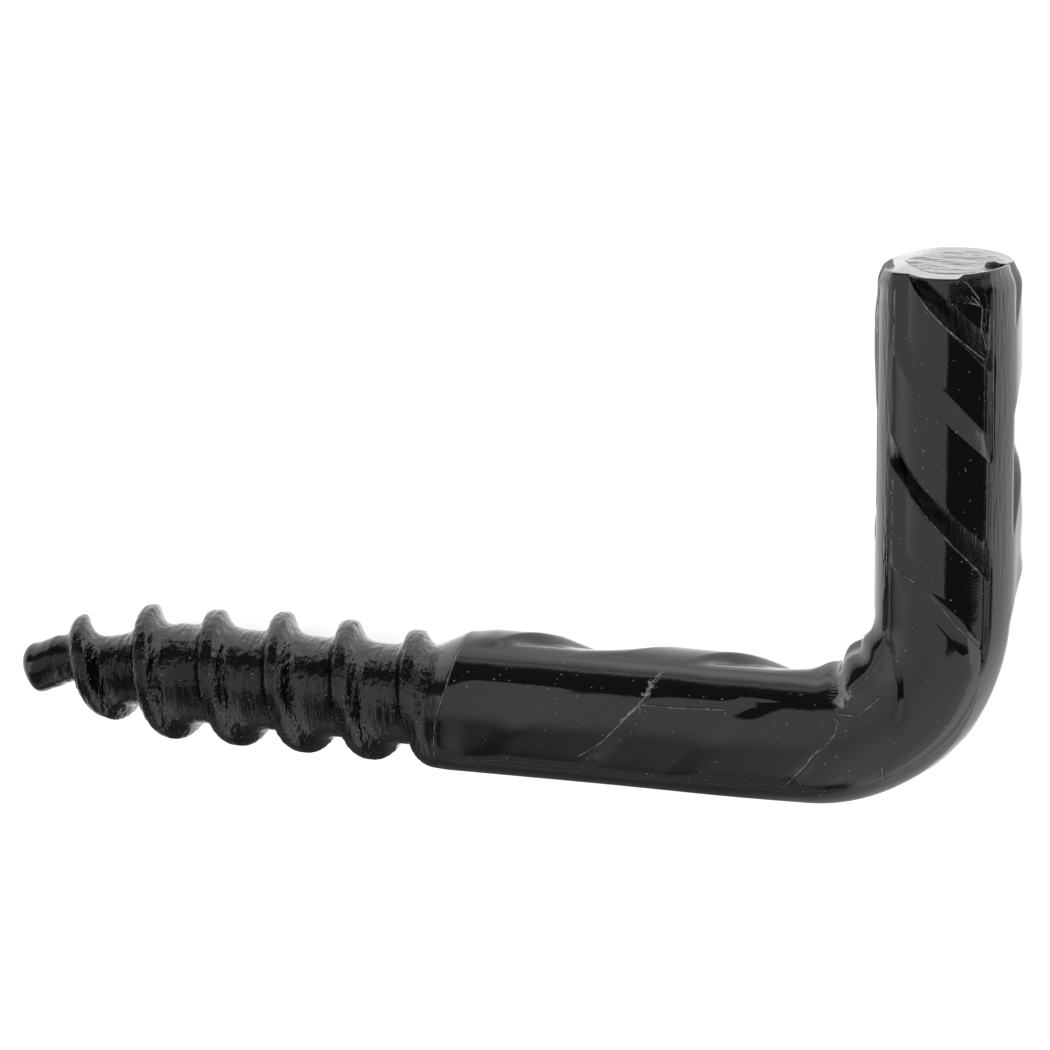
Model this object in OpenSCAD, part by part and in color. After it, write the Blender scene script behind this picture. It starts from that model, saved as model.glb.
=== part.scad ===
// Square-bend screw hook, cold-formed from one length of indented round bar.
// It lies on its side as it comes to rest: +X runs along the shank from the wall
// towards the bend, +Y along the upright arm, +Z up. The origin is on the shank's
// axis, where the wood thread ends and the plain bar begins (the face of the wall).

/* [Bar] */
// Diameter over the raised lands of the bar
bar_d = 8; // [6:0.5:12]
// From the wall face to the axis of the arm
reach = 29; // [20:0.5:60]
// From the axis of the shank to the cut end of the arm
rise = 27.1; // [18:0.1:60]
// Radius of the bend, on the centreline
bend_r = 7.6; // [6.5:0.1:12]
// How much the bar thins on the outside of the bend
bend_thin = 0.15; // [0:0.05:0.5]
// How much metal is pinched up on the inside of the bend
bend_pinch = 0.4; // [0:0.05:0.8]

/* [Thread] */
// Length of the threaded end
thread_l = 26; // [18:0.5:50]
// Distance from one turn of the thread to the next
thread_pitch = 4.05; // [2.5:0.05:6]
// Diameter over the thread
crest_d = 7.8; // [5:0.1:12]
// Diameter of the core between the turns
root_d = 5.6; // [3.6:0.1:9]
// Diameter of the blunt point
point_d = 2.9; // [1.5:0.1:5]
// Length over which the core tapers down to the point
taper_l = 12; // [6:0.5:16]
// Width of the flat land on top of each turn, as a share of the pitch
crest_land = 0.2; // [0.05:0.01:0.35]
// Turn of the thread about the shank, in degrees
thread_turn = -55; // [-180:1:180]
// How far the thread is sprung out of line at the point, towards the arm
point_lift = 0.35; // [0:0.05:1]
// How far the blunt point itself droops again
point_droop = 0.3; // [0:0.05:0.6]
// How far the turns are shifted along the shank on the arm's side, by the rolling dies
thread_lean = 0.15; // [0:0.05:0.4]
// Length of the cone where the thread's core swells into the bar
neck_l = 2; // [0.6:0.1:3]
// How far the shoulder at the end of the cone slants round the bar
shoulder_skew = 1.2; // [0:0.1:2]

/* [Indents] */
// Depth of the indents rolled into the bar
indent_depth = 0.6; // [0.2:0.05:0.8]
// Distance from one indent to the next in the same row
indent_pitch = 11.6; // [8:0.1:20]
// Angle of an indent's edge to the bar's axis
indent_angle = 48; // [30:0.5:60]
// How far an indent's edge curls along the bar towards one side of its row
indent_curl = 0.8; // [0:0.1:2]
// Width of a row of indents, in degrees round the bar
row_width = 88; // [60:1:100]
// Width of the sloping step at the side of an indent, in degrees
side_step = 4; // [3:0.5:8]

/* [Cut end] */
// Slope of the cropped end across the hook, in degrees
cut_slope = 2; // [0:0.5:8]
// Width of the part of the end that the cropping tool pressed down, on the shank's side
facet_w = 2; // [0:0.1:4]
// Slope of that part, in degrees
facet_slope = 4; // [0:0.5:12]
// How far the cropping tool rounded the arm's outer edge
cut_round = 0.45; // [0:0.05:0.8]
// Length of arm that this rounding takes
cut_round_l = 1.5; // [0.5:0.1:4]

/* [Hidden] */

bar_r = bar_d / 2;
bend_start = reach - bend_r;
bend_l = bend_r * PI / 2;
bar_l = bend_start + bend_l + rise - bend_r;
plain_l = 0.7;                      // bare collar between the shoulder and the first indent
shoulder_turn = 160;                // where the slanting shoulder reaches furthest along the bar

// One row of indents: middle of the row in degrees, first crease, direction of rolling
// (1 or -1), share of the depth, and the lengths of the flank, the land and the ramp.
rows = [
    [81.5, 3.7, 1, 0.7, 1.3, 5.2, 1.5],
    [197, 9.6, 1, 1, 4.1, 4.1, 3.3],
    [321, 9.8, -1, 1, 1.4, 6, 4.1],
];
shear = tan(90 - indent_angle) * bar_r * PI / 180;   // mm along the bar for each degree
half_row = (row_width + side_step) / 2;
next_row = function (i) rows[(i + 1) % len(rows)][0] + (i == len(rows) - 1 ? 360 : 0);

// The surface is a net: columns run along the bar and rings run round it.
row_columns = 9;
gap_columns = 2;
columns = [
    for (i = [0 : len(rows) - 1])
        let (middle = rows[i][0], gap = next_row(i) - middle - 2 * half_row)
        each concat(
            [middle - half_row],
            [for (j = [0 : row_columns + 1])
                middle + (row_width - side_step) * (j / (row_columns + 1) - 0.5)],
            [middle + half_row],
            [for (j = [1 : gap_columns]) middle + half_row + gap * j / (gap_columns + 1)]
        )
];
point_rings = 5;
over_l = 1;                         // the net runs on past the cut, which trims it
// A longer or finer hook shares out the same number of rings, so its net stays as light.
screw_rings = 78;
rib_rings = 56;
rings_per_turn = min(12, screw_rings * thread_pitch / thread_l);
rings_per_indent = min(12, floor(rib_rings * indent_pitch / (bar_l + over_l)));

function clamp(t) = min(max(t, 0), 1);
function smooth(t) = let (c = clamp(t)) c * c * (3 - 2 * c);
function wrap(x, turn) = x - turn * floor(x / turn);
function from_middle(angle, middle) = wrap(angle - middle + 180, 360) - 180;

// Centreline: straight shank, quarter bend, straight arm. A frame travels along it, whose
// first direction points out of the bend (angle 0) and whose second is always +Z (angle 90).
function bend_angle(s) = 90 * clamp((s - bend_start) / bend_l);
function outward(s) = [sin(bend_angle(s)), -cos(bend_angle(s)), 0];
function centre(s) = [
    min(s, bend_start) + bend_r * sin(bend_angle(s)),
    bend_r * (1 - cos(bend_angle(s))) + max(s - bend_start - bend_l, 0)
        + point_lift * max(-s, 0) / thread_l
        - point_droop * smooth((thread_pitch * 0.85 - thread_l - s) / 3),
    0
];

// Height profile of one turn of the thread, from its tip-side edge, as shares of the pitch
// and of the thread's depth: a flat land, a steep flank with a fillet, the core, a flank.
thread_profile = [
    [0, 0.88], [crest_land / 2, 1], [crest_land, 0.95], [crest_land + 0.1, 0.45],
    [crest_land + 0.16, 0.18], [crest_land + 0.33, 0], [0.8, 0], [0.89, 0.1], [0.95, 0.4], [1, 0.88],
];
function core_r(t) = lookup(t, [
    [0, point_d / 2], [thread_pitch / 2, point_d / 2], [thread_pitch * 0.75, point_d * 0.43],
    [taper_l * 0.75, root_d * 0.465], [taper_l, root_d / 2], [thread_l - 2, root_d / 2],
    [thread_l, root_d * 0.535],
]);
function thread_r(t) = lookup(t, [
    [0, point_d / 2], [thread_pitch / 2, point_d / 2], [thread_pitch * 0.77, crest_d * 0.385],
    [thread_pitch * 1.3, crest_d * 0.4], [thread_pitch * 2, crest_d * 0.49],
    [thread_pitch * 3, crest_d / 2],
]);
function point_round(t) = let (c = clamp(t / (point_d / 2))) sqrt(c * (2 - c));
function screw_r(s, angle) =
    let (
        t = s + thread_l,
        lean = thread_lean * cos(angle - 190),
        turn = wrap((s - lean) / thread_pitch + (angle - thread_turn) / 360, 1),
        height = lookup(turn, thread_profile)
    )
    point_round(t) * (core_r(t) + (thread_r(t) - core_r(t)) * height);

// How far along the bar a crease lies, d degrees from its row's middle: a slant that curls.
function crease(d) = shear * d + indent_curl * pow(max(d - 10, 0) / half_row, 2);
// Depth of a row of indents, a distance u past a crease: a steep flank up to the land, then
// a ramp, and a floor that goes on sinking gently to the next crease.
function indent(u, flank, land, ramp) =
    let (
        w = wrap(u, indent_pitch),
        ramp_start = flank + land
    )
    w < flank ? 1 - w / flank
    : w < ramp_start ? 0
    : 0.75 * clamp((w - ramp_start) / ramp)
        + 0.25 * (w - ramp_start) / (indent_pitch - ramp_start);
function row_depth(s, angle, row) =
    let (
        d = from_middle(angle, row[0]),
        side = clamp((row_width / 2 - abs(d)) / side_step + 0.5)
    )
    side <= 0 ? 0
    : side * row[3] * indent(row[2] * (s - row[1]) - crease(d), row[4], row[5], row[6]);
function indents(s, angle) =
    indent_depth * (row_depth(s, angle, rows[0])
        + row_depth(s, angle, rows[1]) + row_depth(s, angle, rows[2]));

function bend_share(s) = pow(sin(2 * bend_angle(s)), 2);
function end_share(s) = pow(smooth((s - bar_l + cut_round_l) / cut_round_l), 2);
// Metal pinched up inside the bend, in a lobe on either side of a shallow fold.
function lobe(s, share) = exp(-pow((s - bend_start - share * bend_l) / (0.12 * bend_l), 2));
function pinch(s) = bend_pinch * (lobe(s, 0.44) + 0.6 * lobe(s, 0.67) - 0.4 * lobe(s, 0.26));
// The edge of the shoulder, which slants round the bar.
function shoulder(angle) = shoulder_skew / 2 * (1 + cos(angle - shoulder_turn));
function bar_surface_r(s, angle) =
    bar_r
    - indents(s, angle) * smooth((s - shoulder(angle)) / plain_l)
    - bend_thin * bend_share(s) * max(cos(angle), 0)
    + pinch(s) * pow(max(-cos(angle), 0), 2)
    - cut_round * end_share(s) * max(cos(angle + 10), 0);
function surface_r(s, angle) =
    let (
        edge = shoulder(angle),
        share = clamp((s - edge + neck_l) / neck_l)
    )
    (1 - share) * screw_r(min(s, edge), angle) + share * bar_surface_r(max(s, edge), angle);

function surface_point(s, angle) =
    let (r = surface_r(s, angle))
    centre(s) + r * (cos(angle) * outward(s) + sin(angle) * [0, 0, 1]);

// Along the ribbed bar each ring runs with the creases, so that their edges stay crisp.
// A ring zigzags round the bar, by as much as an indent slants, and this grows from nothing.
function slant(angle) =
    lookup(wrap(angle - slants[0][0], 360) + slants[0][0],
        concat(slants, [[slants[0][0] + 360, slants[0][1]]]));
slants = [
    for (row = rows, share = [-1 : 0.1 : 1])
        [row[0] + share * half_row, row[2] * crease(share * half_row)]
];
slant_max = crease(half_row);
slant_grow = 1.6 * slant_max;
slant_from = shoulder_skew + 0.2;   // rings start to zigzag past the shoulder

point_steps = [for (i = [0 : point_rings]) point_d / 2 * (1 - cos(10 + 80 * i / point_rings))];
turn_step = thread_pitch / rings_per_turn;
screw_steps = [for (t = [point_d / 2 + turn_step : turn_step : thread_l + slant_from - 0.05]) t];
rib_step = indent_pitch / rings_per_indent;
first_rib = rows[0][1] - rib_step * floor((rows[0][1] - slant_from) / rib_step);
rib_steps = [for (s = [first_rib : rib_step : bar_l + slant_max + over_l]) s + thread_l];
steps = concat(point_steps, screw_steps, rib_steps);

net = [
    for (t = steps)
        let (s = t - thread_l)
        [for (angle = columns)
            surface_point(s + slant(angle) * smooth((s - slant_from) / slant_grow), angle)]
];

// A closed skin over the net: two triangles for each mesh, and a fan at either end.
module skin(net) {
    n = len(net[0]);
    m = len(net);
    middle = function (ring) [for (k = [0 : 2]) [for (p = ring) p[k]] * [for (p = ring) 1 / n]];
    points = concat([for (ring = net) each ring], [middle(net[0]), middle(net[m - 1])]);
    faces = concat(
        [for (i = [0 : m - 2], j = [0 : n - 1]) each
            let (k = (j + 1) % n)
            [[i * n + j, (i + 1) * n + j, (i + 1) * n + k],
             [i * n + j, (i + 1) * n + k, i * n + k]]],
        [for (j = [0 : n - 1]) [m * n, j, (j + 1) % n]],
        [for (j = [0 : n - 1]) [m * n + 1, (m - 1) * n + (j + 1) % n, (m - 1) * n + j]]
    );
    polyhedron(points, faces);
}

// The cropping tool's cut: everything past it falls away, and the side that the tool
// pressed down first slopes off.
module crop() {
    waste_l = slant_max * 2 + over_l * 4;
    translate([reach, rise, 0])
        rotate([cut_slope, 0, 0]) {
            translate([-bar_d, 0, -bar_d])
                cube([2 * bar_d, waste_l, 2 * bar_d]);
            translate([facet_w - bar_r, 0, 0])
                rotate([0, 0, facet_slope])
                    translate([-bar_d, 0, -bar_d])
                        cube([bar_d, waste_l, 2 * bar_d]);
        }
}

module hook() {
    color("#151516")
        difference() {
            skin(net);
            crop();
        }
}

hook();
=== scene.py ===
from math import cos, pi, radians, sin, tan

import bpy
import numpy as np
from mathutils import Matrix, Vector


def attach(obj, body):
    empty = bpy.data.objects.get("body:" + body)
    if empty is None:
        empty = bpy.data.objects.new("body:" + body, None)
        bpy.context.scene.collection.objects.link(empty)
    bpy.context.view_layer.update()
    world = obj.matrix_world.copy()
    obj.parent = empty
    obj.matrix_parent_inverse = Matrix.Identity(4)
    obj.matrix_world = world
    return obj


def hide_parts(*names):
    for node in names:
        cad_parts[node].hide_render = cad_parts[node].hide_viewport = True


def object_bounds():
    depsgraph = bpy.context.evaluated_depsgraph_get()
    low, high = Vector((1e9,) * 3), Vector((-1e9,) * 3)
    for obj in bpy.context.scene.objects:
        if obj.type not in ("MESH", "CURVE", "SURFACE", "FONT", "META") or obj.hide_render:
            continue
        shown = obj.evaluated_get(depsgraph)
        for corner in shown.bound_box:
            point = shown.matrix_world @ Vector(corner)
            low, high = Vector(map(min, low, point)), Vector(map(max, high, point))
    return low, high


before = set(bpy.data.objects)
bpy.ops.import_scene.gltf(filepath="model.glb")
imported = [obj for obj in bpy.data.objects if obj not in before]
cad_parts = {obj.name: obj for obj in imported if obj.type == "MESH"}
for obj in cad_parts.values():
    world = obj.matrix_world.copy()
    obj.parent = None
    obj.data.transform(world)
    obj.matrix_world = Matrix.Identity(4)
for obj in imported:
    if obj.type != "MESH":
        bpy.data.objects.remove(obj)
cad_box = [list(corner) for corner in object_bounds()]

# ---- The view -------------------------------------------------------------------------
# The hook lies on its side on a table, and the camera looks down on it from the side of
# its upright arm, so that the arm stands upright in the picture. A long lens from 450 mm.
aimed_at = Vector((0.029, 0.0, 0.0))            # where the axes of shank and arm cross
turned, raised = radians(19.5), radians(13.1)
distance = 0.450
lens_share = 7.772                              # focal length over the film's width
off_right, off_up = 0.02314, -0.01199           # how far the aim lies from the view's middle

away = Vector((sin(turned) * cos(raised), sin(raised), cos(turned) * cos(raised)))
right = Vector((cos(turned), 0.0, -sin(turned)))
upward = away.cross(right)
camera_data = bpy.data.cameras.new("camera")
camera_data.sensor_width = 36.0
camera_data.lens = 36.0 * lens_share
camera_data.clip_start, camera_data.clip_end = 0.01, 20.0
camera = bpy.data.objects.new("camera", camera_data)
turn = Matrix((right, upward, away)).transposed().to_4x4()
place = aimed_at + distance * away - off_right * right - off_up * upward
camera.matrix_world = Matrix.Translation(place) @ turn
bpy.context.collection.objects.link(camera)
bpy.context.scene.camera = camera
bpy.context.scene.view_settings.view_transform = "Standard"


# ---- The studio -----------------------------------------------------------------------
# A white table, a light tent over it with black flags, and soft lamps above. The tent is
# only seen in the gloss of the paint: it gives the long grey and black reflections.
def colour(written):
    """An sRGB hex colour, such as "#0b0b0c", as linear red, green, blue and 1."""
    parts = [int(written[i:i + 2], 16) / 255 for i in (1, 3, 5)]
    return [p / 12.92 if p <= 0.04045 else ((p + 0.055) / 1.055) ** 2.4 for p in parts] + [1.0]


def add(tree, kind, settings=None, links=None):
    """Adds a node to a tree, sets its own settings, and fills its inputs with values,
    or with other nodes' sockets (a node alone stands for its first output)."""
    node = tree.nodes.new("ShaderNode" + kind)
    for name, value in (settings or {}).items():
        setattr(node, name, value)
    for name, value in (links or {}).items():
        if isinstance(value, bpy.types.Node):
            value = value.outputs[0]
        if isinstance(value, bpy.types.NodeSocket):
            tree.links.new(value, node.inputs[name])
        else:
            node.inputs[name].default_value = value
    return node


def new_material(name):
    """An empty material of that name, with its output node."""
    material = bpy.data.materials.new(name)
    material.use_nodes = True
    material.node_tree.nodes.clear()
    return material, material.node_tree, material.node_tree.nodes.new("ShaderNodeOutputMaterial")


def sheet_mesh(name, x0, x1, y0, y1, z):
    """A flat rectangle at height z, facing up."""
    mesh = bpy.data.meshes.new(name)
    mesh.from_pydata([(x0, y0, z), (x1, y0, z), (x1, y1, z), (x0, y1, z)], [], [(0, 1, 2, 3)])
    made = bpy.data.objects.new(name, mesh)
    bpy.context.collection.objects.link(made)
    return made


TIMES, PLUS, MINUS = {"operation": "MULTIPLY"}, {"operation": "ADD"}, {"operation": "SUBTRACT"}
BIGGER, SIZE_OF = {"operation": "MAXIMUM"}, {"operation": "ABSOLUTE"}
ALONG = {"operation": "DOT_PRODUCT"}
PLAIN = {"data_type": "FLOAT"}
EASED = {"interpolation_type": "SMOOTHSTEP"}


def span(value, start, end, low=0.0, high=1.0):
    """What a Map Range is filled with, to go from low to high as a value goes from start to
    end. It goes in a straight line, or smoothly where the node is eased."""
    return {"Value": value, "From Min": start, "From Max": end, "To Min": low, "To Max": high}


# The air of the studio: white to the eye, a little less in the gloss, and about a third as
# strong where it lights the hook.
world = bpy.data.worlds.new("studio")
bpy.context.scene.world = world
world.use_nodes = True
world.node_tree.nodes.clear()
tree = world.node_tree
in_gloss, on_hook = 0.9, 0.30
rays = add(tree, "LightPath")
seen = add(tree, "Math", BIGGER, {
    0: rays.outputs["Is Camera Ray"], 1: rays.outputs["Is Transmission Ray"]})
gloss_level = add(tree, "Math", TIMES, {0: rays.outputs["Is Glossy Ray"], 1: in_gloss})
level = add(tree, "Math", BIGGER, {0: seen, 1: gloss_level})
level = add(tree, "Math", BIGGER, {0: level, 1: on_hook})
air = add(tree, "Background", None, {"Color": colour("#ffffff"), "Strength": level})
add(tree, "OutputWorld", None, {"Surface": air})

# The table is white paper. It glows to the eye, and its matt part takes the shadow. In the
# gloss it is dimmer past the hook's point, and brighter right of the arm and behind the hook.
table_z = cad_box[0][2] - 0.00002
table = sheet_mesh("table", -4.0, 4.0, -4.0, 4.0, table_z)
paper, tree, out = new_material("white_paper")
rays = add(tree, "LightPath")
seen = add(tree, "Math", TIMES, {0: rays.outputs["Is Camera Ray"], 1: 0.80})
axes = add(tree, "SeparateXYZ", None, {0: add(tree, "TexCoord").outputs["Object"]})
x, y = axes.outputs["X"], axes.outputs["Y"]
behind = add(tree, "Math", TIMES, {
    0: add(tree, "MapRange", EASED, span(y, 0.018, 0.028)),
    1: add(tree, "MapRange", EASED, span(x, -0.010, 0.002))})
pool = add(tree, "Math", PLUS, {
    0: add(tree, "MapRange", EASED, span(x, -0.038, -0.022, 0.80, 1.12)),
    1: add(tree, "MapRange", EASED, span(x, 0.032, 0.036, 0.0, 0.35))})
pool = add(tree, "Math", PLUS, {0: pool, 1: add(tree, "Math", TIMES, {0: behind, 1: 0.7})})
shine = add(tree, "Math", TIMES, {0: rays.outputs["Is Glossy Ray"], 1: pool})
glow = add(tree, "Math", BIGGER, {0: seen, 1: shine})
glow = add(tree, "Emission", None, {"Color": colour("#ffffff"), "Strength": glow})
matt = add(tree, "BsdfDiffuse", None, {"Color": colour("#d8d8d8")})
both = add(tree, "AddShader", None, {0: glow, 1: matt})
tree.links.new(both.outputs[0], out.inputs["Surface"])
table.data.materials.append(paper)


def hide_from_view(made):
    """Leaves a card to glossy rays alone."""
    made.visible_camera = made.visible_diffuse = made.visible_shadow = False
    made.visible_transmission = False


# The tent's cloth is spread 50 mm over the hook, and glows unevenly.
tent = sheet_mesh("tent", -3.0, 3.0, -3.0, 0.6, 0.050)
hide_from_view(tent)
cloth, tree, out = new_material("tent_cloth")
where = add(tree, "TexCoord").outputs["Object"]
axes = add(tree, "SeparateXYZ", None, {0: where})
x, y = axes.outputs["X"], axes.outputs["Y"]

# Two black flags lie on it: one right of the hook, with a leaning front edge, and one along
# its back, which the cloth's fold pushes further back on the right.
leaning = add(tree, "VectorMath", ALONG, {0: where, 1: (0.10, 1.0, 0.0)}).outputs["Value"]
flag_right = add(tree, "Math", TIMES, {
    0: add(tree, "MapRange", EASED, span(x, 0.0400, 0.0425)),
    1: add(tree, "MapRange", EASED, span(leaning, -0.0064, -0.0044))})
flag_right = add(tree, "Math", TIMES, {
    0: flag_right, 1: add(tree, "MapRange", EASED, span(y, 0.020, 0.016))})
pushed = add(tree, "MapRange", EASED, span(x, -0.008, 0.030, 0.0, 0.022))
back_y = add(tree, "Math", MINUS, {0: y, 1: pushed})
flag_back = add(tree, "Math", TIMES, {
    0: add(tree, "MapRange", EASED, span(back_y, 0.033, 0.037)),
    1: add(tree, "MapRange", EASED, span(y, 0.42, 0.20))})
flag_back = add(tree, "Math", TIMES, {
    0: flag_back, 1: add(tree, "MapRange", EASED, span(x, 0.160, 0.100))})

# Over the hook the cloth is bright, most at the left. In front it fades to the left, and
# further off it is dim, all but dark before the shank, and bright to the far left and right.
over_hook = add(tree, "MapRange", EASED, span(x, -0.050, 0.0, 1.45, 1.08))
across = add(tree, "VectorMath", ALONG, {0: where, 1: (1.0, -0.15, 0.0)}).outputs["Value"]
in_front = add(tree, "MapRange", None, span(across, -0.0275, 0.0345, 0.14, 1.14))
far_off = add(tree, "Mix", PLAIN, {
    "Factor": add(tree, "MapRange", EASED, span(x, -0.035, -0.020)),
    "A": add(tree, "MapRange", EASED, span(x, -0.20, -0.06, 0.32, 0.46)), "B": 0.12})
far_off = add(tree, "Mix", PLAIN, {
    "Factor": add(tree, "MapRange", EASED, span(x, 0.000, 0.040)), "A": far_off, "B": 1.25})
in_front = add(tree, "Mix", PLAIN, {
    "Factor": add(tree, "MapRange", EASED, span(y, -0.14, -0.24)), "A": in_front, "B": far_off})
leaning = add(tree, "VectorMath", ALONG, {0: where, 1: (-0.20, 1.0, 0.0)}).outputs["Value"]
is_front = add(tree, "Math", TIMES, {
    0: add(tree, "MapRange", EASED, span(y, 0.006, -0.026)),
    1: add(tree, "MapRange", EASED, span(leaning, 0.010, -0.020))})
level = add(tree, "Mix", PLAIN, {"Factor": is_front, "A": over_hook, "B": in_front})
far_left = add(tree, "Math", TIMES, {
    0: add(tree, "MapRange", EASED, span(x, -0.24, -0.28)),
    1: add(tree, "MapRange", EASED, span(y, -0.20, -0.14))})
level = add(tree, "Mix", PLAIN, {"Factor": far_left, "A": level, "B": 1.2})
for flag, let_through in ((flag_right, 0.07), (flag_back, 0.08)):
    past_flag = add(tree, "MapRange", None, span(flag, 0.0, 1.0, 1.0, let_through))
    level = add(tree, "Math", TIMES, {0: level, 1: past_flag})
glow = add(tree, "Emission", None, {"Color": colour("#ffffff"), "Strength": level})
tree.links.new(glow.outputs[0], out.inputs["Surface"])
tent.data.materials.append(cloth)

# A grey gauze hangs 20 mm over the thread and dims the tent there, most at the point.
gauze = sheet_mesh("gauze", -0.060, 0.004, -0.012, 0.013, 0.020)
hide_from_view(gauze)
net, tree, out = new_material("grey_gauze")
x = add(tree, "SeparateXYZ", None, {0: add(tree, "TexCoord").outputs["Object"]}).outputs["X"]
veil = add(tree, "BsdfTransparent", None, {
    "Color": add(tree, "MapRange", EASED, span(x, -0.026, 0.002, 0.42, 1.0))})
tree.links.new(veil.outputs[0], out.inputs["Surface"])
gauze.data.materials.append(net)

# Felt lies on the table in front of the shank, and keeps the white paper out of the shank's
# under edge. It is bright along its leaning back edge and towards the arm.
card_z = cad_box[0][2] + 0.0004
felt = sheet_mesh("felt", -1.0, 0.042, -3.0, -0.0045, card_z)
hide_from_view(felt)
nap, tree, out = new_material("felt")
where = add(tree, "TexCoord").outputs["Object"]
axes = add(tree, "SeparateXYZ", None, {0: where})
x, y = axes.outputs["X"], axes.outputs["Y"]
leaning = add(tree, "VectorMath", ALONG, {0: where, 1: (-0.30, 1.0, 0.0)}).outputs["Value"]
lit = add(tree, "Mix", PLAIN, {
    "Factor": add(tree, "MapRange", EASED, span(leaning, -0.0005, -0.0025)), "A": 1.1,
    "B": add(tree, "MapRange", EASED, span(x, 0.012, 0.042, 0.12, 1.3))})
lit = add(tree, "Math", PLUS, {
    0: lit, 1: add(tree, "MapRange", EASED, span(y, -0.012, -0.034, 0.0, 0.19))})
glow = add(tree, "Emission", None, {"Color": colour("#ffffff"), "Strength": lit})
tree.links.new(glow.outputs[0], out.inputs["Surface"])
felt.data.materials.append(nap)

# A grey card lies in the corner of the hook, for the arm's left edge.
card = sheet_mesh("grey_card", 0.0195, 0.0245, 0.012, 0.028, card_z)
hide_from_view(card)
board, tree, out = new_material("grey_card")
glow = add(tree, "Emission", None, {"Color": colour("#ffffff"), "Strength": 0.55})
tree.links.new(glow.outputs[0], out.inputs["Surface"])
card.data.materials.append(board)

# Two soft round lamps give the matt light and the shadow, and stay out of the gloss. Each
# has its place and width in metres, and its power in watts.
for name, hung_at, wide, watts in (
        ("key_lamp", (-0.25, 0.25, 0.55), 0.45, 1.6),
        ("fill_lamp", (0.40, -0.10, 0.50), 0.60, 1.0)):
    lamp_data = bpy.data.lights.new(name, "AREA")
    lamp_data.shape, lamp_data.size, lamp_data.energy = "DISK", wide, watts
    lamp = bpy.data.objects.new(name, lamp_data)
    lamp.location = hung_at
    lamp.rotation_euler = (aimed_at - Vector(hung_at)).to_track_quat("-Z", "Y").to_euler()
    lamp.visible_glossy = False
    bpy.context.collection.objects.link(lamp)


# ---- The hook -------------------------------------------------------------------------
# One length of 8 mm steel bar with three rows of rolled indents, a wood thread on one end,
# bent square and cropped. All of it is one skin, worked out on a net of rings and columns.
# Sizes are in mm and degrees: s is a length along the bar from the face of the wall, and an
# angle goes round the bar from the outside of the bend (0) by the front (90) to the inside.
bar_r, reach, rise, bend_r = 4.0, 29.0, 27.1, 7.6
skin_in = 0.016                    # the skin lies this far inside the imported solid's box
bend_thin = 0.15                   # how much the bend's outside thins
thread_l, pitch, point_d = 25.975, 4.035, 2.9
thread_turn = -55.0
point_lift, point_droop = 0.34, 0.55    # the thread is sprung up, and its point droops
indent_pitch, row_width, side_step = 11.6, 88.0, 2.4
shear = 0.0625                     # mm that a crease goes along the bar for each degree
cut_slope, cut_round, cut_round_in, cut_round_l = 2.0, 0.45, 0.40, 1.5
land_low, land_out = 0.05, 0.17    # front and outer lands lie under the round, inner ones over it
# Each row: middle, first crease, direction of rolling, depth, the flank's length, where the
# land ends, and the ramp's length.
rows = (
    (81.5, 3.68, 1, 0.42, 1.50, 6.5, 1.5),
    (197, 10.1, 1, 0.70, 3.5, 6.8, 1.1),
    (324, 9.9, -1, 1.36, 2.6, 8.0, 3.4))
front_row, inner_row = 0, 1
bend_start = reach - bend_r
bend_l = bend_r * pi / 2
bar_l = bend_start + bend_l + rise - bend_r
mm_a_degree = bar_r * pi / 180


def clamp(t):
    """t, kept between 0 and 1."""
    return np.clip(t, 0.0, 1.0)


def smooth(t):
    """A smooth step: 0 below 0, 1 above 1, and 3tt - 2ttt between."""
    c = clamp(t)
    return c * c * (3 - 2 * c)


def from_middle(angle, middle):
    """How far an angle lies from a middle one, from -180 to 180 degrees."""
    return np.mod(angle - middle + 180, 360) - 180


def hill(t):
    """A smooth hill: 1 at 0, falling to nearly 0 beyond 2 either way, as e to the -tt."""
    return np.exp(-t * t)


def bend_angle(s):
    """How far the bar has turned at length s, in radians: none, then evenly to a quarter."""
    return clamp((s - bend_start) / bend_l) * pi / 2


def centre_line(s):
    """Centre and outward direction at length s: a straight that is sprung up a little and
    droops again at its point, a quarter circle, and a straight."""
    b = bend_angle(s)
    x = np.minimum(s, bend_start) + bend_r * np.sin(b)
    y = bend_r * (1 - np.cos(b)) + np.maximum(s - bend_start - bend_l, 0)
    y = y + point_lift * np.maximum(-s, 0) / thread_l
    y = y - point_droop * smooth((-s - 23.4) / 1.8) + 0.32 * smooth((-s - 24.9) / 1.0)
    return np.stack([x, y, 0 * x], -1), np.stack([np.sin(b), -np.cos(b), 0 * b], -1)


# The ridge's height over one turn, as shares of the pitch and of the thread's depth: a flat
# crest, a steep flank with a fillet, the core, and the next flank.
thread_profile = np.array((
    (0, 0.88), (0.07, 1), (0.18, 1), (0.22, 0.93), (0.30, 0.45), (0.36, 0.18), (0.45, 0.05),
    (0.55, 0), (0.80, 0), (0.89, 0.10), (0.95, 0.40), (1, 0.88)))
# Radius of the core and of the crest at distances from the point, and how far turn by turn
# the dies left the crest too high on the side of the arm.
core_r = np.array((
    (0, 1.54), (2.0, 1.54), (3.2, 1.15), (5.6, 1.75), (7.5, 2.25), (9.6, 2.8), (24, 2.8),
    (26, 2.98)))
crest_r = np.array((
    (0, 1.54), (2.0, 1.54), (3.5, 2.77), (5.5, 3.09), (7.6, 3.72), (9.5, 3.87)))
uneven = np.array(((-3.8, 0), (-2.9, -0.11), (-1.9, 0.16), (-0.9, 0.08), (0.1, -0.12)))


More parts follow.
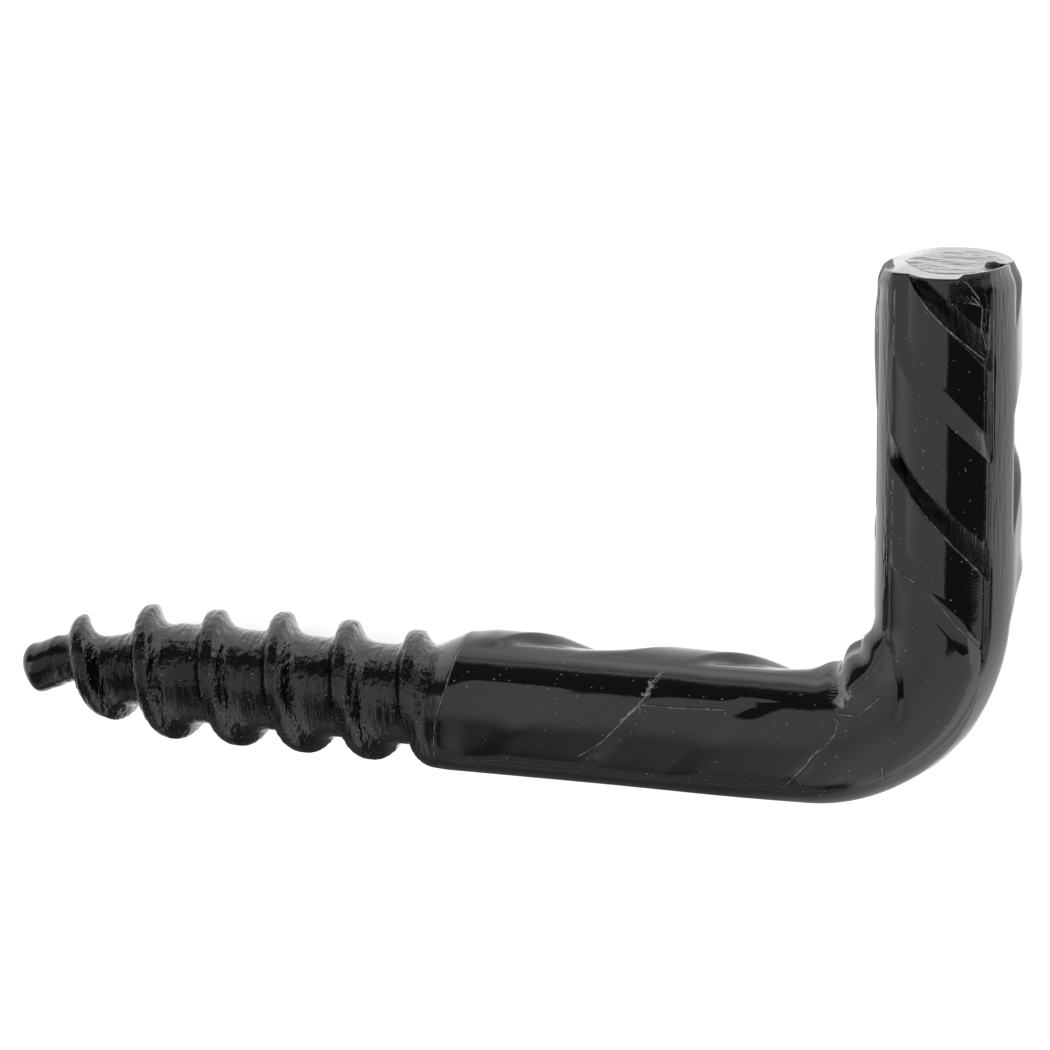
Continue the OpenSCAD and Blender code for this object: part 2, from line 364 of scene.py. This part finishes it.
def screw(s, angle):
    """Radius of the thread and its turn count: a core that tapers to a blunt point, rounded
    as a circle is, and a ridge of the thread's profile that climbs one pitch a turn. The
    turns lean a little on the arm's side, and the last one at the point runs out early."""
    t = s + thread_l
    arm_side = np.cos(np.radians(angle - 190))
    turns = (s - (0.12 + 0.004 * s) * arm_side) / pitch + (angle - thread_turn) / 360
    in_turn = np.mod(turns + 0.05 * clamp((5.6 - t) / 2), 1)
    height = np.interp(in_turn, *thread_profile.T)
    core, crest = np.interp(t, *core_r.T), np.interp(t, *crest_r.T)
    crest = crest + np.interp(turns, *uneven.T) * clamp(0.5 + arm_side)
    c = clamp(t / (point_d / 2))
    return np.sqrt(c * (2 - c)) * (core + (crest - core) * height), turns


def crease_at(d):
    """How far along the bar a crease lies, d degrees from the row's middle: straight, and
    past 10 degrees curling away as a square does."""
    return shear * d + 0.00066 * np.maximum(d - 10, 0) ** 2


def rolled(s, angle):
    """The rolled indents: how deep, and how far in mm past the front row's nearest crease
    and past its flank.
    Past a crease the flank climbs straight to the land, which ends in a ramp down to a floor
    that sinks gently to the next crease. On the shank the front row is shallow and soft: it
    is narrower at its top side and fades out at its lower side. On the arm its left side is
    a broad slope. The inner row fades in from the front on the shank, and nearly out at the cut."""
    depth = 0 * s * angle
    on_arm = smooth((s - 30) / 3)
    for i, (middle, first, way, deep, flank, land_end, ramp) in enumerate(rows):
        d = from_middle(angle, middle)
        w = np.mod(way * (s - first) - crease_at(d), indent_pitch)
        flank = flank * (1 + 0.006 * d) + (0.65 * (1 - on_arm) if i == front_row else 0)
        sunk = (w - land_end) / (indent_pitch - land_end)
        down = 0.9 * clamp((w - land_end) / ramp) + 0.1 * sunk
        share = np.where(w < flank, 1 - w / flank, np.where(w < land_end, 0, down))
        out_by = (np.abs(d) - row_width / 2) * mm_a_degree
        inside = clamp(0.5 - out_by / (side_step * mm_a_degree))
        out = -land_low
        fades_in = on_arm + (1 - on_arm) * smooth((d + 46) / 34)
        if i == front_row:
            share = (share + (smooth(share) - share) * (1 - on_arm)) * (0.32 + 0.68 * on_arm)
            top = d - row_width / 2 + 9.5 * (1 - smooth((s - 17) / 2)) + 5.2 * on_arm
            inside = np.minimum(inside, clamp(0.5 - top / (side_step + 10.0))) * fades_in
            out = out * fades_in
            past_crease = np.where(w > indent_pitch / 2, w - indent_pitch, w)
            past_flank = np.maximum(past_crease - flank, 0)
        if i == inner_row:
            inside = np.minimum(inside, fades_in) * (1 - 0.8 * smooth((s - 48.8) / 1.2))
            out = land_out * (1 - smooth((s - 6) / 10)) + 0.10 * smooth((s - 45) / 3)
        depth = depth + deep * share * inside - out * smooth(-out_by / 0.9)
    return depth, past_crease, past_flank


# Where bending and rolling left the bar thick or thin, as hills: height, where along the
# bar, over what length, and round it, where and over what angle.
swells = (
    (0.29, 34.6, 1.7, -25, 12), (0.12, 38.6, 1.5, -25, 12), (0.07, 17.0, 5.0, 18, 11),
    (0.22, 31.3, 2.2, 60, 22))
# The same for the bend's outside and for its pinched inside, without the angles.
outside_thin = ((0.07, 25.0, 2.0), (0.16, 31.5, 2.6))
inside_folds = ((0.34, 27.0, 1.2), (0.34, 30.0, 1.3), (-0.25, 24.8, 0.9))


def side_share(angle, middle):
    """How much an angle faces a middle one: its cosine, and 0 on the far side."""
    return np.maximum(np.cos(np.radians(angle - middle)), 0)


def surface(s, angle):
    """Radius at length s and angle, and the thread's turn count: the thread, a cone up to
    the slanting shoulder, and the bar less its indents, thinned outside the bend, pinched
    inside it, with its swells, and rounded at the cut."""
    shoulder = 0.6 + 0.6 * np.cos(np.radians(angle - 160))
    cone_l = 2.0 + 0.1 * np.cos(np.radians(angle - 190))
    depth = rolled(s, angle)[0]
    r = bar_r - depth * smooth((s - shoulder - 0.1) / 1.5)
    thin = bend_thin * np.sin(2 * bend_angle(s)) ** 2
    thin = thin + sum(height * hill((s - at) / length) for height, at, length in outside_thin)
    r = r - thin * side_share(angle, 0)
    folds = sum(height * hill((s - at) / length) for height, at, length in inside_folds)
    r = r + folds * side_share(angle, 180) ** 2
    ridge = 0.09 * smooth((s - 33.3) / 1.5) * (1 - smooth((s - 50) / 2))
    r = r + ridge * hill(from_middle(angle, -25) / 12)
    for height, at, length, middle, wide in swells:
        r = r + height * hill((s - at) / length) * hill(from_middle(angle, middle) / wide)
    end_share = smooth((s - bar_l + cut_round_l) / cut_round_l) ** 2
    r = r - cut_round * end_share * side_share(angle, -10) ** 3
    r = r - cut_round_in * end_share * side_share(angle, 170) ** 3
    share = clamp((s - shoulder + cone_l) / cone_l)
    thread, turns = screw(np.minimum(s, shoulder), angle)
    return (1 - share) * thread + share * r - skin_in, turns


# The columns run along the bar: close together on the front row, and closest on the steps
# at the rows' sides. Each has a slant, by which its rings are shifted to follow the creases.
columns = []
half, foot = (row_width - side_step) / 2, (row_width + side_step) / 2
for i, fine in enumerate((60, 30, 30)):
    middle, after = rows[i][0], rows[(i + 1) % 3][0] + 360 * (i == 2)
    columns += list(np.linspace(middle - foot, middle - half, 4)[:-1])
    columns += list(np.linspace(middle - half, middle + half, fine + 1)[:-1])
    columns += list(np.linspace(middle + half, middle + foot, 4)[:-1])
    columns += list(np.linspace(middle + foot, after - foot, 10)[:-1])
columns = np.array(columns)
row_angles = np.linspace(-foot, foot, 25)
turned_by = [np.mod(row[0] - rows[0][0], 360) + foot + row_angles for row in rows]
shifted_by = [row[2] * crease_at(row_angles) for row in rows]
slant = np.interp(
    np.mod(columns - rows[0][0] + foot, 360),
    np.concatenate([*turned_by, [360]]), np.concatenate([*shifted_by, [crease_at(-foot)]]))

# The rings run round it: even along the thread and along the bar, with more of them
# gathered at the creases of each row. They reach past the cut, so that every column does.
gathered = [-0.5, -0.12, -0.04, 0.0, 0.04, 0.12, 0.5]
thread_ring, bar_ring, bar_from = 0.128, 0.23, 1.3
slant_most = np.abs(slant).max()
reach_s = bar_l + slant_most + 0.3
rings = np.concatenate([
    -thread_l + point_d / 2 * (1 - np.cos(np.linspace(0.04, pi / 2, 12))),
    np.arange(-thread_l + point_d / 2 + 0.1, bar_from, thread_ring),
    np.arange(bar_from, reach_s, bar_ring),
    [row[1] + k * indent_pitch + g for row in rows for k in range(-1, 6) for g in gathered]])
rings = np.sort(rings[(rings < reach_s) & (rings > -thread_l + 0.001)])
rings = rings[np.concatenate([[True], np.diff(rings) > 0.02])]
slant_grow = 1.6 * slant_most
s = rings[:, None] + slant[None, :] * smooth((rings[:, None] - bar_from) / slant_grow)
angle = columns[None, :] + 0 * s

# The cut: rings that run past it end on it, a rim's radius short of it.
rim = 0.10
toward = np.radians(columns)
cut_drop = 0.15                    # the torn face lies this much lower than its lip
cut_s = bar_l - bar_r * np.sin(toward) * tan(radians(cut_slope)) - rim


def lip(angle):
    """Height of the torn lip at the rim: up on the front right quarter, level elsewhere."""
    d = from_middle(angle, 30)
    return 0.26 * smooth((38 - np.abs(d)) / 6) * (1 + 0.15 * np.cos(np.radians(4 * d)))


def roll_over(x, z):
    """How far the cropping tool rolled the face's left side down: nothing right of a line,
    then ever steeper to the rim, and more towards the back."""
    return 0.20 * smooth((-x - 0.1 * z - 1.9) / 2.2)


rim_x, rim_z = bar_r * np.cos(toward), bar_r * np.sin(toward)
cut_s = cut_s - cut_drop + lip(columns) - roll_over(rim_x, rim_z)
s = np.minimum(s, cut_s[None, :])
r, turns = surface(s, angle)
points, outward = centre_line(s)
up = np.array([0.0, 0.0, 1.0])
a = np.radians(angle)[..., None]
points = points + r[..., None] * (np.cos(a) * outward + np.sin(a) * up)
n_rings, n_columns = s.shape

# The rim and the cut face: rings that turn over the edge and run in to the middle. The
# middle of the face was torn off a little lower, in streaks, and the tool pressed the rest.
over_edge = np.linspace(0, pi / 2, 5)[1:]
inward = 1 - np.concatenate([np.arange(0.12, 1.3, 0.09), np.linspace(1.3, 3.9, 16)[:-1]]) / 3.9
face_r = np.concatenate([
    r[-1] - rim + rim * np.cos(over_edge)[:, None], (r[-1] - rim) * inward[:, None]])
face_x, face_z = face_r * np.cos(toward), face_r * np.sin(toward)
near_rim = smooth((face_r / r[-1] - 0.89) / 0.06)
face_y = -cut_drop - face_z * tan(radians(cut_slope)) + lip(columns) * near_rim
face_y = face_y - roll_over(face_x, face_z)
face_y[:len(over_edge)] += -rim + rim * np.sin(over_edge)[:, None]
in_tear = 1.0 - ((face_x - 0.35) / 3.05) ** 2 - np.abs(face_z + 0.2) / 2.9
cut_points = np.stack([reach + face_x, rise + face_y, face_z], -1)

tip_point, _ = centre_line(np.array([-thread_l]))
mid_point = np.array([[reach, rise - cut_drop, 0.0]])
verts = np.concatenate([
    points.reshape(-1, 3), cut_points.reshape(-1, 3), tip_point, mid_point]) / 1000

# Faces: one for each mesh of the net. Where rings end on the cut they share its points.
index = np.arange(n_rings * n_columns).reshape(n_rings, n_columns)
at_cut = s >= cut_s[None, :] - 1e-9
first_cut = np.argmax(at_cut, axis=0)
index = np.where(at_cut, first_cut[None, :] * n_columns + np.arange(n_columns)[None, :], index)
n_cut = len(face_r)
cut_index = n_rings * n_columns + np.arange(n_cut * n_columns).reshape(n_cut, n_columns)
index = np.concatenate([index, cut_index])
over = np.roll(index, -1, axis=1)
quads = np.stack([index[:-1], index[1:], over[1:], over[:-1]], -1).reshape(-1, 4)
whole = ~(quads == np.roll(quads, -1, axis=1)).any(axis=1)
faces = quads[whole].tolist()
for quad in quads[~whole].tolist():
    corners = list(dict.fromkeys(quad))
    if len(corners) == 3:
        faces.append(corners)
tip_index, mid_index = len(verts) - 2, len(verts) - 1
ring, last = index[0], index[-1]
faces += np.stack([np.full(n_columns, tip_index), ring, np.roll(ring, -1)], -1).tolist()
faces += np.stack([np.full(n_columns, mid_index), np.roll(last, -1), last], -1).tolist()

# Points that the merging left unused are dropped.
used = np.unique(np.concatenate([np.array(face) for face in faces]))
new_index = np.zeros(len(verts), int)
new_index[used] = np.arange(len(used))
mesh = bpy.data.meshes.new("hook_skin")
mesh.from_pydata(verts[used].tolist(), [], [new_index[face].tolist() for face in faces])
mesh.update()
mesh.polygons.foreach_set("use_smooth", [True] * len(mesh.polygons))

hook = bpy.data.objects.new("hook_skin", mesh)
bpy.context.collection.objects.link(hook)

# Pale lines along sharp edges: each line is a width in mm, and points along it as length
# and angle. Some are enamel broken off. The thin lines along the creases, ramps, row sides
# and shoulder are partly chips and partly painted edge highlights.
chips_and_edge_highlights = (
    (0.06, (13.2, 141), (13.0, 134)),
    (0.22, (12.95, 133), (12.7, 122)),
    (0.08, (12.6, 118), (12.2, 110), (11.4, 98)),
    (0.75, (25.15, 119), (25.6, 130)),        # rubbed bare inside the bend
    (0.030, (12.0, 106), (10.3, 80), (8.8, 64)),
    (0.030, (12.6, 114), (14.5, 114), (17.4, 116)),
    (0.040, (24.6, 111), (24.1, 98), (22.5, 83), (20.9, 54)),
    (0.030, (24.8, 112), (25.8, 105), (27.9, 105)),
    (0.022, (25.4, 54), (24.9, 36), (26.1, 38), (27.1, 33), (28.5, 29), (30.6, 32)),
    (0.038, (51.6, 104), (50.8, 94), (50.0, 81), (49.3, 68), (48.0, 43)),
    (0.038, (40.2, 106), (39.6, 98), (38.3, 78), (36.9, 56), (36.1, 43)),
    (0.026, (52.4, 61), (51.4, 50)),
    (0.026, (51.2, 56), (51.0, 47), (49.8, 48), (48.6, 43), (48.6, 40)),
    (0.026, (51.6, 124), (48.1, 124)),
    (0.026, (41.2, 124), (36.4, 124)),
    (0.022, (36.4, 125), (35.3, 94), (34.3, 78), (33.3, 66), (32.1, 40)),
    (0.016, (52.0, 37), (37.0, 35)),
    (0.016, (50.5, 41), (38.0, 41)),
    (0.026, (1.2, 165), (1.25, 150), (1.2, 138), (1.0, 110), (0.5, 86), (0.1, 50)),
)
mark = np.full(s.shape, 9.0)
gap = np.full(s.shape, 9.0)
for wide, *line in chips_and_edge_highlights:
    for (s0, a0), (s1, a1) in zip(line, line[1:]):
        du, dv = s1 - s0, (a1 - a0) * mm_a_degree
        pu, pv = s - s0, from_middle(angle, a0) * mm_a_degree
        share = clamp((pu * du + pv * dv) / (du * du + dv * dv))
        off = np.hypot(pu - share * du, pv - share * dv)
        side = np.sign(pu * dv - pv * du)
        closer = off < gap
        mark = np.where(closer, side * off / wide, mark)
        gap = np.where(closer, off, gap)

# How much each point has of each finish. The arm's flanks are hollow, and so is a small
# sharp dent outside the corner's folds; the hollow is a height in mm that slopes along them.
_, past_crease, past_flank = rolled(s, angle)
past_dent = s - 29.4 - 0.083 * from_middle(angle, 102)
hollow = np.where(s > 33, 0.69 * past_crease + 0.25 * past_flank, -0.75 * past_dent)
dent_wide = 0.75 * (1 - (from_middle(angle, 98) / 19) ** 2)
in_dent = smooth(past_dent / 0.15 + 0.5) * smooth((dent_wide - past_dent) / 0.25 + 0.5)
on_row = smooth((row_width / 2 - np.abs(from_middle(angle, rows[0][0]))) / 2 + 0.5)
in_flank = smooth(past_crease / 0.2 + 0.5) * on_row * smooth((s - 34) / 1)
# The rolls left streaks on the flanks and on both sides of the arm.
arm_left = hill(from_middle(angle, 132) / 6) * smooth((s - 34) / 3)
arm_right = hill(from_middle(angle, 28) / 10) * smooth((s - 34) / 3)
streaked = in_flank * smooth((2 - past_crease) / 0.4) + 0.6 * arm_left + 0.5 * arm_right
# Both edges of the thread's crest are worn.
from_crest = np.mod(turns + 0.5, 1) - 0.5
on_thread = smooth((0.4 - s) / 0.8)
edged = (hill(from_crest / 0.05) + hill((from_crest - 0.2) / 0.05)) * on_thread

# Each layer has its values on the skin, and its value on the cut face.
layers = {
    "mark": (mark, 9.0), "marked": (smooth((0.95 - gap) / 0.3), 0.0),
    "hollow": (hollow, 0.0), "in_flank": (in_flank, 0.0), "in_dent": (in_dent, 0.0),
    "past_crease": (np.abs(past_crease), 9.0), "streaked": (clamp(streaked), 0.0),
    "threaded": (on_thread * smooth((s + 25) / 2), 0.0), "edged": (edged, 0.0),
    "torn": (0 * s - 1, in_tear)}
# The place on the bar as if it had been straightened.
bar = np.stack([r * np.cos(np.radians(angle)), r * np.sin(np.radians(angle)), s], -1)
cut_bar = np.stack([face_x, face_z, bar_l + 0 * face_x], -1)
bar = np.concatenate([
    bar.reshape(-1, 3), cut_bar.reshape(-1, 3), [(0, 0, -thread_l), (0, 0, bar_l)]])
mesh.attributes.new("bar", "FLOAT_VECTOR", "POINT").data.foreach_set(
    "vector", bar[used].astype(np.float32).ravel())
for name, (on_skin, on_cut) in layers.items():
    at_ends = [0.0, 1.0 if name == "torn" else 0.0]
    value = np.concatenate([on_skin.ravel(), (on_cut + 0 * face_x).ravel(), at_ends])
    mesh.attributes.new(name, "FLOAT", "POINT").data.foreach_set(
        "value", value[used].astype(np.float32))

# Hot-dipped gloss enamel on steel: a thick, runny black skin that mirrors the studio. Pale
# lines along sharp edges are partly where it broke off and partly painted edge highlights,
# and dust and grit are baked into it.
enamel, tree, out = new_material("black_enamel")
on_bar = add(tree, "Attribute", {"attribute_name": "bar"}).outputs["Vector"]
(mark, marked, hollow, in_flank, in_dent, past_crease, streaked, threaded, edged, torn) = (
    add(tree, "Attribute", {"attribute_name": name}).outputs["Fac"] for name in layers)


def waves(tall, across, along, detail=1.0, share=None):
    """Uneven bumps, tall mm high, with wavelengths in mm across and along the bar, times
    a share where one is given."""
    spread = add(tree, "VectorMath", TIMES, {
        0: on_bar, 1: (1 / across, 1 / across, 1 / along)})
    pattern = add(tree, "TexNoise", None, {"Vector": spread, "Scale": 1.0, "Detail": detail})
    high = add(tree, "MapRange", None, span(pattern, 0.0, 1.0, -tall, tall))
    return high if share is None else add(tree, "Math", TIMES, {0: high, 1: share})


# Chips and painted edge highlights: within a line's own width, made ragged and broken up
# by the grain of the steel.
ragged = waves(1.0, 0.20, 0.20, 3.0)
broken = waves(1.8, 0.5, 0.5, 2.0)
off_line = add(tree, "Math", SIZE_OF, {0: add(tree, "Math", PLUS, {0: mark, 1: ragged})})
pale_line_size = add(tree, "Math", PLUS, {0: 0.85, 1: broken})
inside_line = add(tree, "Math", MINUS, {0: pale_line_size, 1: off_line})
chip_and_highlight = add(tree, "Math", TIMES, {
    0: add(tree, "MapRange", EASED, span(inside_line, 0.0, 0.5)), 1: marked})

# Grit: pale specks up to 0.1 mm across, in about one in four of the cells of a quarter of a
# millimetre, and in more of them on the thread's edges.
cells_a_mm = 4.0
cells = add(tree, "TexVoronoi", None, {"Vector": on_bar, "Scale": cells_a_mm})
chance = add(tree, "SeparateColor", None, {"Color": cells.outputs["Color"]})
on_edge = add(tree, "Math", TIMES, {0: edged, 1: 0.35})
chance = add(tree, "Math", PLUS, {0: chance, 1: on_edge})
speck_r = add(tree, "MapRange", None, span(chance, 0.72, 1.0, 0.0, 0.19))
speck = add(tree, "Math", {"operation": "LESS_THAN"}, {
    0: cells.outputs["Distance"], 1: speck_r})

# Where it is worn, and on the painted edge highlights, the dull grey primer colour shows,
# mottled. It is rougher there than the enamel, and so is the torn part of the cut.
worn_and_highlit = add(tree, "Math", BIGGER, {0: chip_and_highlight, 1: speck})
mottling = add(tree, "Math", PLUS, {0: 0.75, 1: waves(1.5, 0.12, 0.16, 2.0)})
mottled = add(tree, "Math", {"operation": "MULTIPLY", "use_clamp": True}, {
    0: worn_and_highlit, 1: mottling})
tone = add(tree, "Mix", {"data_type": "RGBA"}, {
    "Factor": mottled, "A": colour("#09090a"), "B": colour("#84827e")})
in_torn = add(tree, "MapRange", EASED, span(torn, 0.0, 0.04))
enamel_rough, worn_and_highlit_rough, torn_rough = 0.085, 0.3, 0.12
rough = add(tree, "Math", PLUS, {
    0: add(tree, "Math", TIMES, {0: worn_and_highlit, 1: worn_and_highlit_rough}), 1: enamel_rough})
rough = add(tree, "Math", PLUS, {
    0: rough, 1: add(tree, "Math", TIMES, {0: in_torn, 1: torn_rough})})

# The height of the skin in mm: slow waves where the enamel ran, a fine grain, streaks
# along the bar on the flanks, streaks round the thread, a groove beside each pale line of
# chips and painted edge highlight, and the torn streaks of the cut.
beside = add(tree, "Math", SIZE_OF, {0: add(tree, "Math", PLUS, {0: mark, 1: 1.6})})
groove = add(tree, "MapRange", EASED, span(beside, 0.0, 1.8, -0.020, 0.0))
groove = add(tree, "Math", TIMES, {0: groove, 1: marked})
tear = add(tree, "VectorMath", TIMES, {0: on_bar, 1: (0.45, 1.5, 1.0)})
tear = add(tree, "TexNoise", None, {"Vector": tear, "Scale": 1.0, "Detail": 3.0})
tear = add(tree, "Math", TIMES, {0: add(tree, "Math", TIMES, {0: tear, 1: 0.30}), 1: in_torn})
parts = (
    waves(0.030, 3.6, 4.2), waves(0.005, 0.9, 1.1), waves(0.0018, 0.13, 0.13, 2.0),
    waves(0.060, 0.26, 1.9, 2.0, streaked), waves(0.070, 2.0, 0.30, 3.0, threaded),
    waves(0.045, 0.5, 0.40, 3.0, threaded), waves(0.020, 0.11, 0.14, 2.0, worn_and_highlit), groove, tear)
total = parts[0]
for part in parts[1:]:
    total = add(tree, "Math", PLUS, {0: total, 1: part})
# The hollow flanks and the dent slope more steeply than the skin. A flank ends 1.7 mm past
# its crease.
in_flank = add(tree, "Math", TIMES, {
    0: in_flank, 1: add(tree, "MapRange", EASED, span(past_crease, 1.70, 1.62))})
steep = add(tree, "Math", BIGGER, {0: in_flank, 1: in_dent})
steeper = add(tree, "Bump", None, {"Strength": steep, "Distance": 0.001, "Height": hollow})
bump = add(tree, "Bump", None, {
    "Strength": 1.0, "Distance": 0.001, "Height": total, "Normal": steeper})
paint = add(tree, "BsdfPrincipled", None, {
    "Base Color": tone.outputs["Result"], "Roughness": rough, "IOR": 1.5, "Normal": bump})
tree.links.new(paint.outputs[0], out.inputs["Surface"])
mesh.materials.append(enamel)

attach(hook, "root")
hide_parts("hook")
